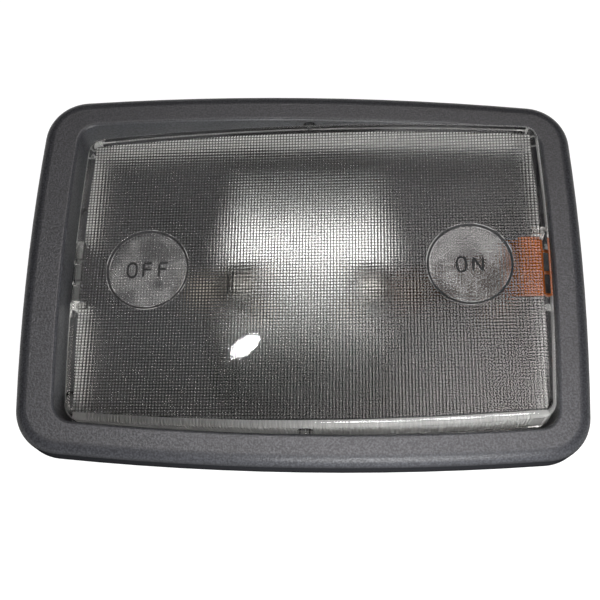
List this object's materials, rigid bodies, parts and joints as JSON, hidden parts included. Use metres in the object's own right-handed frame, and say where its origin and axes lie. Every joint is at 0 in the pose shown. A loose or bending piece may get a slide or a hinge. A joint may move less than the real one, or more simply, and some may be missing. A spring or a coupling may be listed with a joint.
{
  "type": "car dome light",
  "caption": "Rectangular car roof light: grained plastic bezel and box with a clear prism lens that rocks to switch a festoon bulb between OFF and ON.",
  "frame": {"origin": "centre of the box on the plane of the bezel skirt's back face, the face that lies on the roof lining", "axes": "+X along the lamp towards the ON end, +Y across it, +Z out of the lens into the cabin"},
  "size_m": [0.1339, 0.095, 0.0349],
  "materials": {
    "bezel_plastic": "fine spark-eroded grain",
    "lens_plastic": "clear, polished outside",
    "reflector_sheet": "bright anodised",
    "rivet_metal": "plain",
    "bulb_glass": "clear",
    "bulb_caps": "tin plated",
    "filament": "drawn wire",
    "strip_steel": "dull passivated",
    "terminal_brass": "plain rolled",
    "spring_bronze": "rolled phosphor bronze",
    "contact_silver": "silver faced"
  },
  "bodies": {
    "lamp": {"housing": "bezel_plastic", "reflector": "reflector_sheet", "reflector_rivets": "rivet_metal", "strip_rivets": "rivet_metal", "bulb_glass": "bulb_glass", "bulb_cap_feed": "bulb_caps", "bulb_cap_switched": "bulb_caps", "bulb_filament": "filament", "filament_leads": "filament", "feed_strip": "strip_steel", "link_strip": "strip_steel", "switch_spring": "spring_bronze", "door_contact": "spring_bronze", "earth_contact": "strip_steel", "door_stud": "contact_silver", "earth_stud": "contact_silver", "feed_terminal": "terminal_brass", "door_terminal": "terminal_brass", "earth_terminal": "terminal_brass"},
    "rocker": {"lens": "lens_plastic"}
  },
  "joints": [
    {"name": "lens_rock", "type": "hinge", "parent": "lamp", "child": "rocker", "pos_m": [0, 0, 0.0045], "axis": [0, 1, 0], "range_deg": [0, 10], "deforming": ["switch_spring", "door_contact", "door_stud"]}
  ]
}
